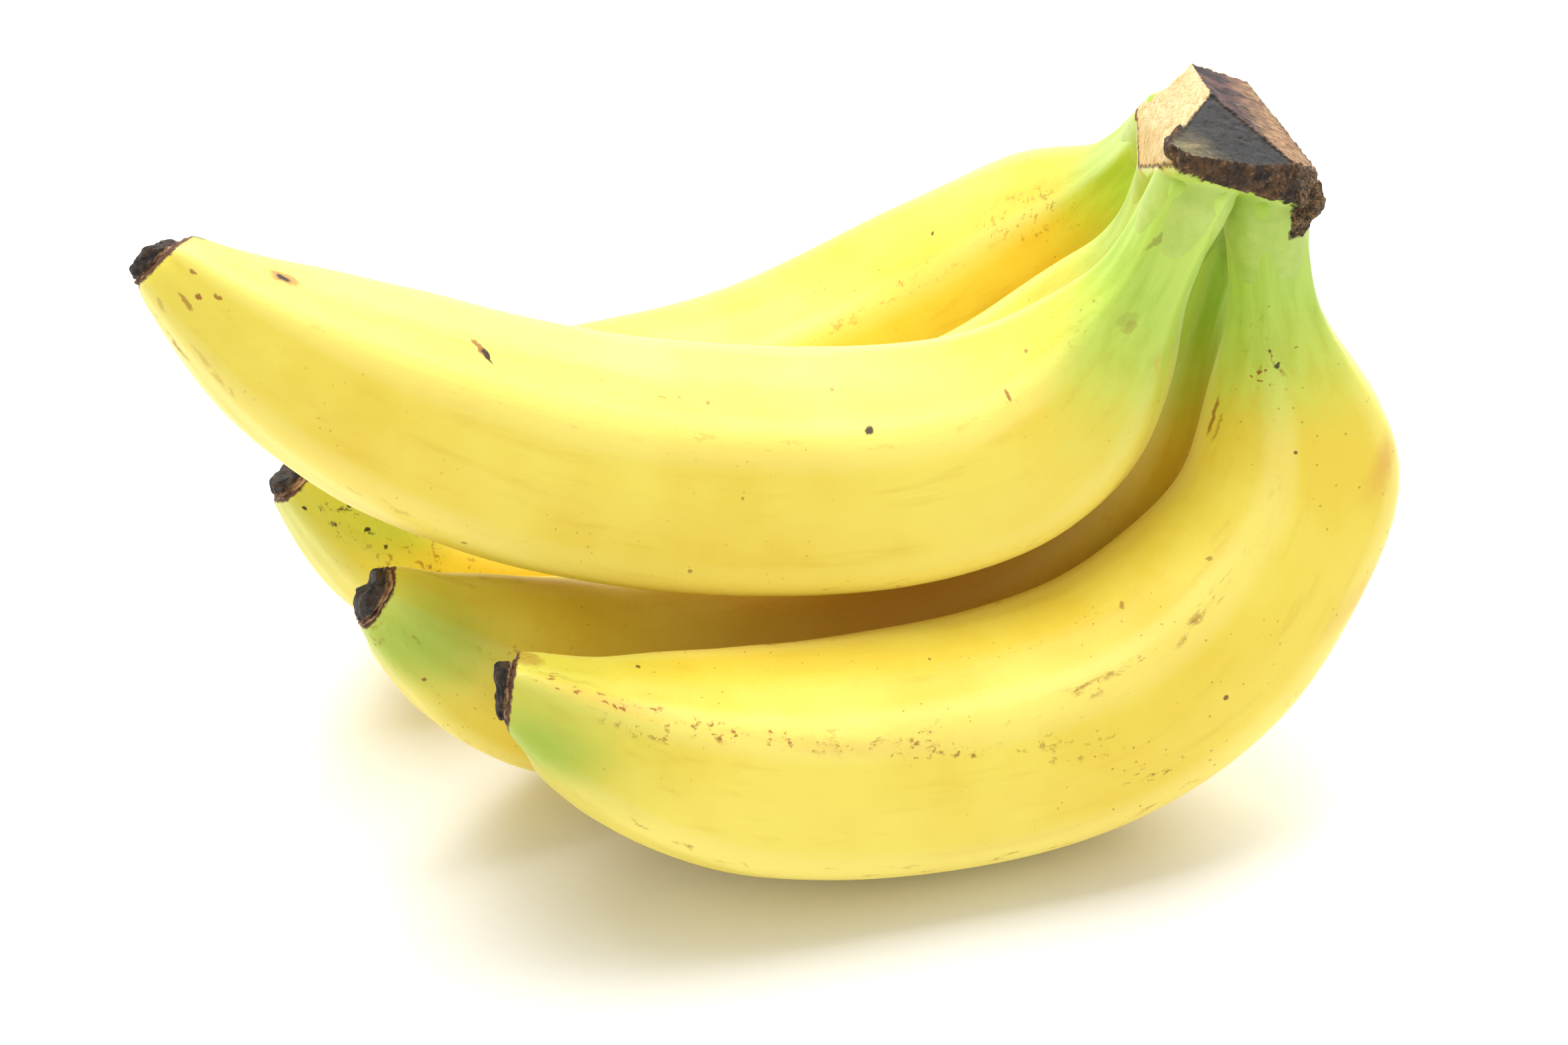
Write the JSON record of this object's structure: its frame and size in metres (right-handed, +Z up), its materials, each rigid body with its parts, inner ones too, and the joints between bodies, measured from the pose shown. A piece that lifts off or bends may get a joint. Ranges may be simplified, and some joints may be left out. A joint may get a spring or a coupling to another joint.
{
  "type": "bunch of bananas",
  "caption": "Bunch of ripe yellow bananas joined at a woody crown, lying on their curved backs with the flower ends up.",
  "frame": {"origin": "on the surface the bunch lies on, under the middle of its bounding box", "axes": "+X from the flower ends towards the crown, -Y towards the front banana, +Z up"},
  "size_m": [0.1861, 0.1612, 0.113],
  "materials": {
    "peel": "smooth waxy yellow banana skin, greener at the necks, with brown freckles",
    "crown_wood": "dry fibrous brown-black cut stem",
    "flower_cork": "dull black-brown dried flower remains"
  },
  "bodies": {
    "root": {"crown": "crown_wood", "top_banana": "peel", "front_banana": "peel", "middle_banana": "peel", "left_banana": "peel", "back_banana": "peel", "top_flower_end": "flower_cork", "front_flower_end": "flower_cork", "middle_flower_end": "flower_cork", "left_flower_end": "flower_cork", "back_flower_end": "flower_cork"}
  },
  "joints": []
}
